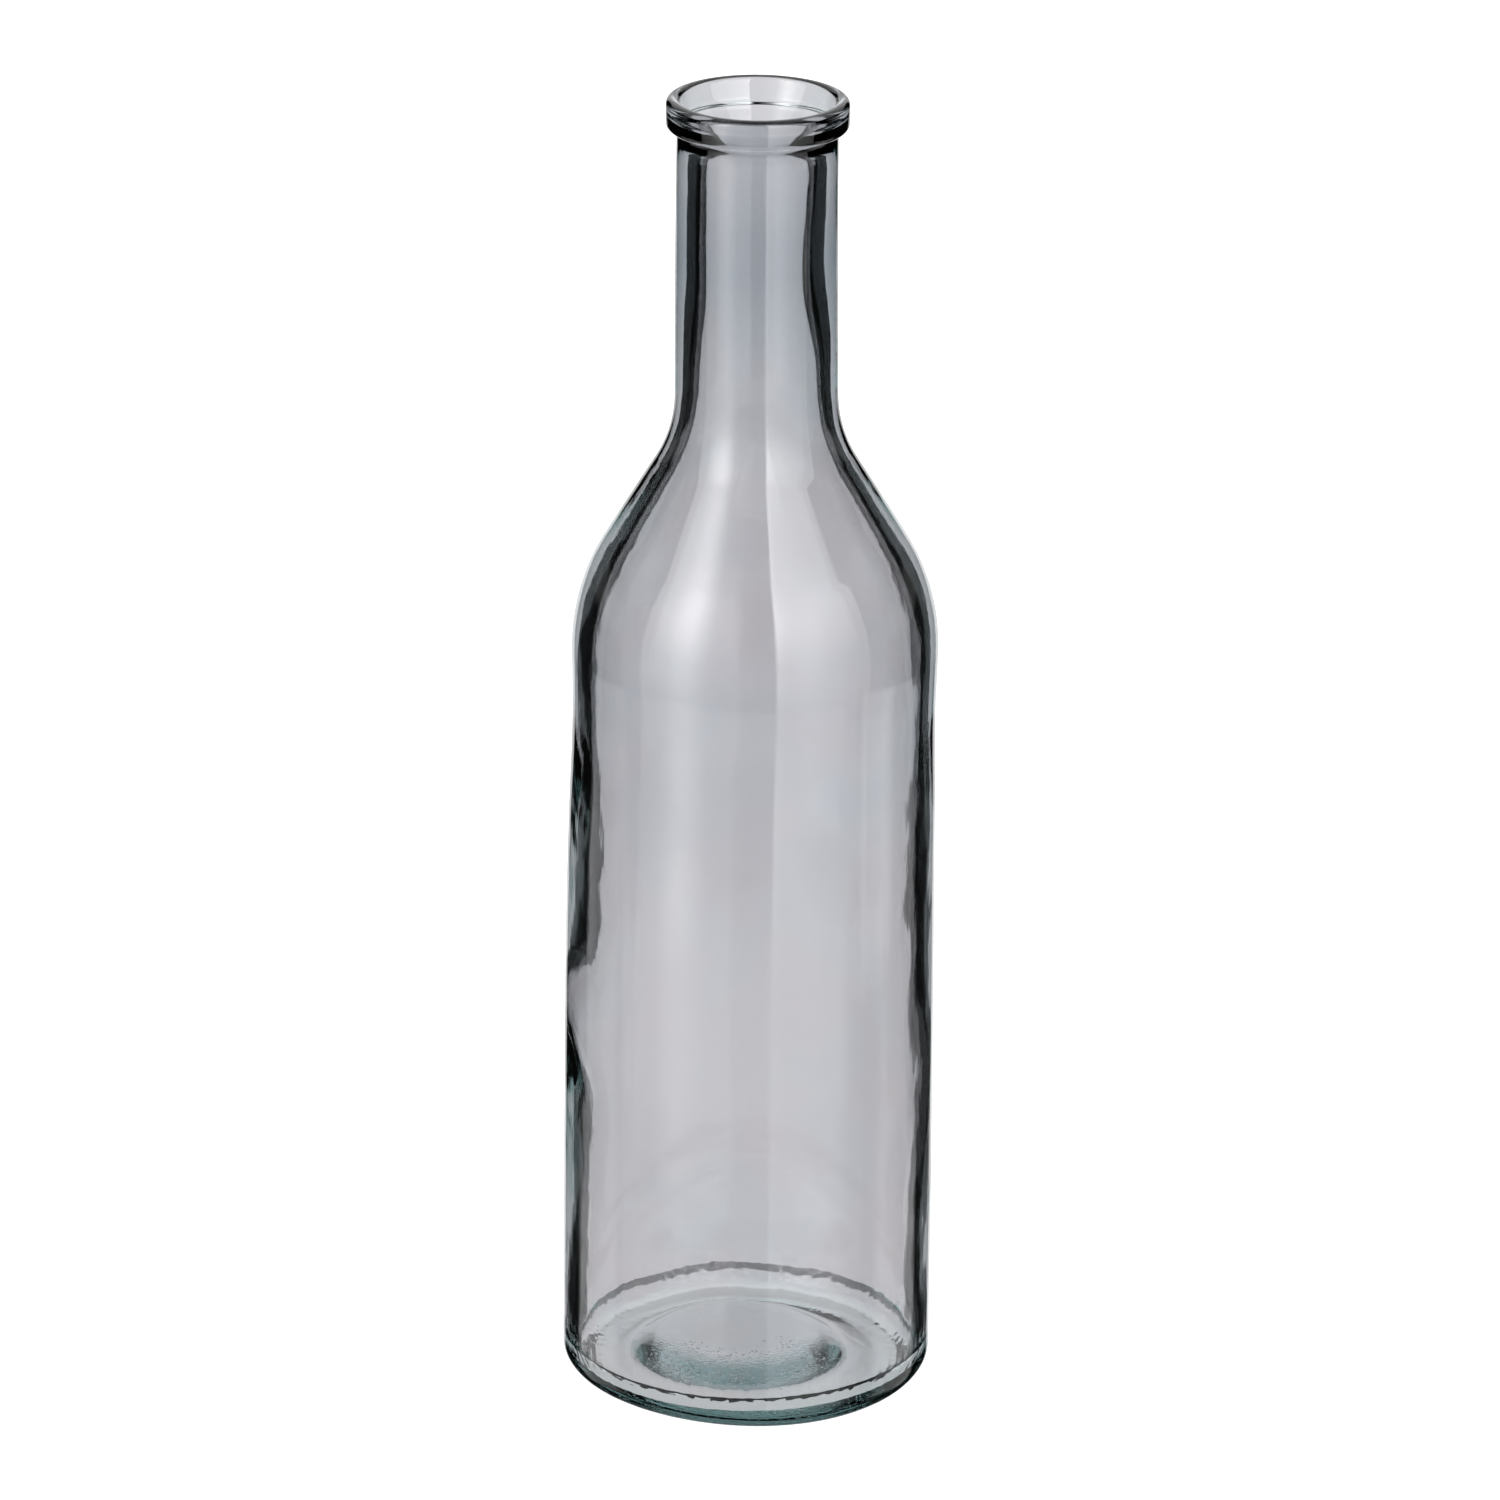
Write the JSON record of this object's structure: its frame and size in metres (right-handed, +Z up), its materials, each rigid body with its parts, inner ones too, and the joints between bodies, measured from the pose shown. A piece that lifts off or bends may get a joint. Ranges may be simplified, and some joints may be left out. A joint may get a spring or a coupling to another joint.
{
  "type": "bottle vase",
  "caption": "Tall bottle-shaped flower vase in thick recycled glass: long straight cylinder, sloping shoulder, slim open neck with a raised lip ring and a heavy foot.",
  "frame": {"origin": "centre of the foot ring, on the surface that the vase stands on", "axes": "+Z up along the axis of the bottle, towards the mouth; the bottle is round, so +X and +Y are free"},
  "size_m": [0.1398, 0.1398, 0.5],
  "materials": {
    "recycled_glass": "polished, slightly rippled recycled glass with a thin grey stain outside and a green-blue body tint"
  },
  "bodies": {
    "root": {"glass_body": "recycled_glass"}
  },
  "joints": []
}
